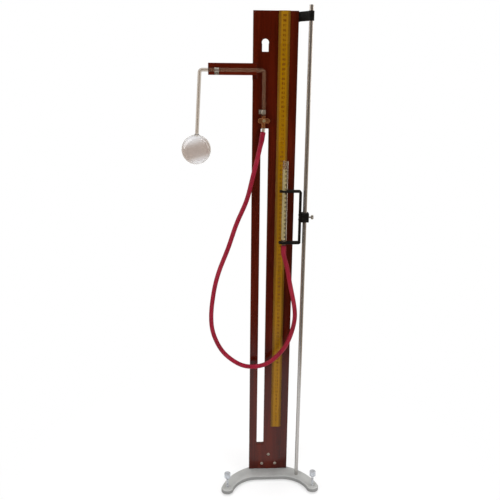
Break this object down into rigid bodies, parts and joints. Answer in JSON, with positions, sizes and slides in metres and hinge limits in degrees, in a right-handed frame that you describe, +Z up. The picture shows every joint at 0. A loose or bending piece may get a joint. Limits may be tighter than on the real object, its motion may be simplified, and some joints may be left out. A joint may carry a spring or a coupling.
{
  "type": "charles law apparatus",
  "caption": "Tall wooden stand with a glass bulb and tube, a stopcock and a hose to an open reservoir that slides on a rod beside a metre scale.",
  "frame": {"origin": "centre of the object's box, without the hose, on the surface it stands on", "axes": "+Z up along the board, +X to the right seen from the front, the front of the board faces -Y"},
  "size_m": [0.3289, 0.185, 1.149],
  "materials": {
    "varnished_wood": "dark red-brown varnish, glossy",
    "scale_wood": "yellow varnish with printed graduations",
    "painted_casting": "silver-grey paint, satin",
    "rubber_pad": "matt black",
    "bright_steel": "bright drawn steel",
    "plated_steel": "nickel plate, polished",
    "black_enamel": "black stoving enamel, semi-gloss",
    "brass": "dull reddish brass",
    "clear_glass": "clear blown glass",
    "red_rubber": "dark red rubber, smooth"
  },
  "bodies": {
    "stand": {"base_casting": "painted_casting", "rear_foot_pad": "rubber_pad", "board": "varnished_wood", "board_screws": "plated_steel", "metre_scale": "scale_wood", "arm": "varnished_wood", "arm_cleat": "varnished_wood", "cleat_screws": "plated_steel", "bulb_and_tube": "clear_glass", "arm_clip": "plated_steel", "board_clip": "plated_steel", "clip_screws": "plated_steel", "stopcock_body": "brass", "gland_nut": "brass", "outlet_tube": "clear_glass", "hose_left_run": "red_rubber", "hose_right_run": "red_rubber", "rod": "bright_steel", "top_bracket": "black_enamel", "top_bracket_screws": "plated_steel"},
    "carriage": {"clamp_block": "black_enamel", "carriage_bracket": "black_enamel", "bracket_screws": "black_enamel", "reservoir": "clear_glass"},
    "thumb_screw": {"thumb_screw": "plated_steel"},
    "left_levelling_screw": {"left_levelling_screw": "plated_steel"},
    "right_levelling_screw": {"right_levelling_screw": "plated_steel"},
    "stopcock_key": {"stopcock_key": "brass"}
  },
  "joints": [
    {"name": "carriage_slide", "type": "slide", "parent": "stand", "child": "carriage", "axis": [0, 0, 1], "range_m": [-0.25, 0.35], "deforming": ["hose_right_run"]},
    {"name": "thumb_screw_turn", "type": "hinge", "parent": "carriage", "child": "thumb_screw", "pos_m": [0.12926, -0.031, 0.694], "axis": [1, 0, 0], "range_deg": [0, 720]},
    {"name": "left_level_turn", "type": "hinge", "parent": "stand", "child": "left_levelling_screw", "pos_m": [-0.06364, -0.0775, 0.043], "axis": [0, 0, 1], "range_deg": [-720, 720]},
    {"name": "right_level_turn", "type": "hinge", "parent": "stand", "child": "right_levelling_screw", "pos_m": [0.14915, -0.0775, 0.043], "axis": [0, 0, 1], "range_deg": [-720, 720]},
    {"name": "stopcock_turn", "type": "hinge", "parent": "stand", "child": "stopcock_key", "pos_m": [0.01826, -0.0105, 0.90912], "axis": [0, -1, 0], "range_deg": [0, 90]}
  ]
}
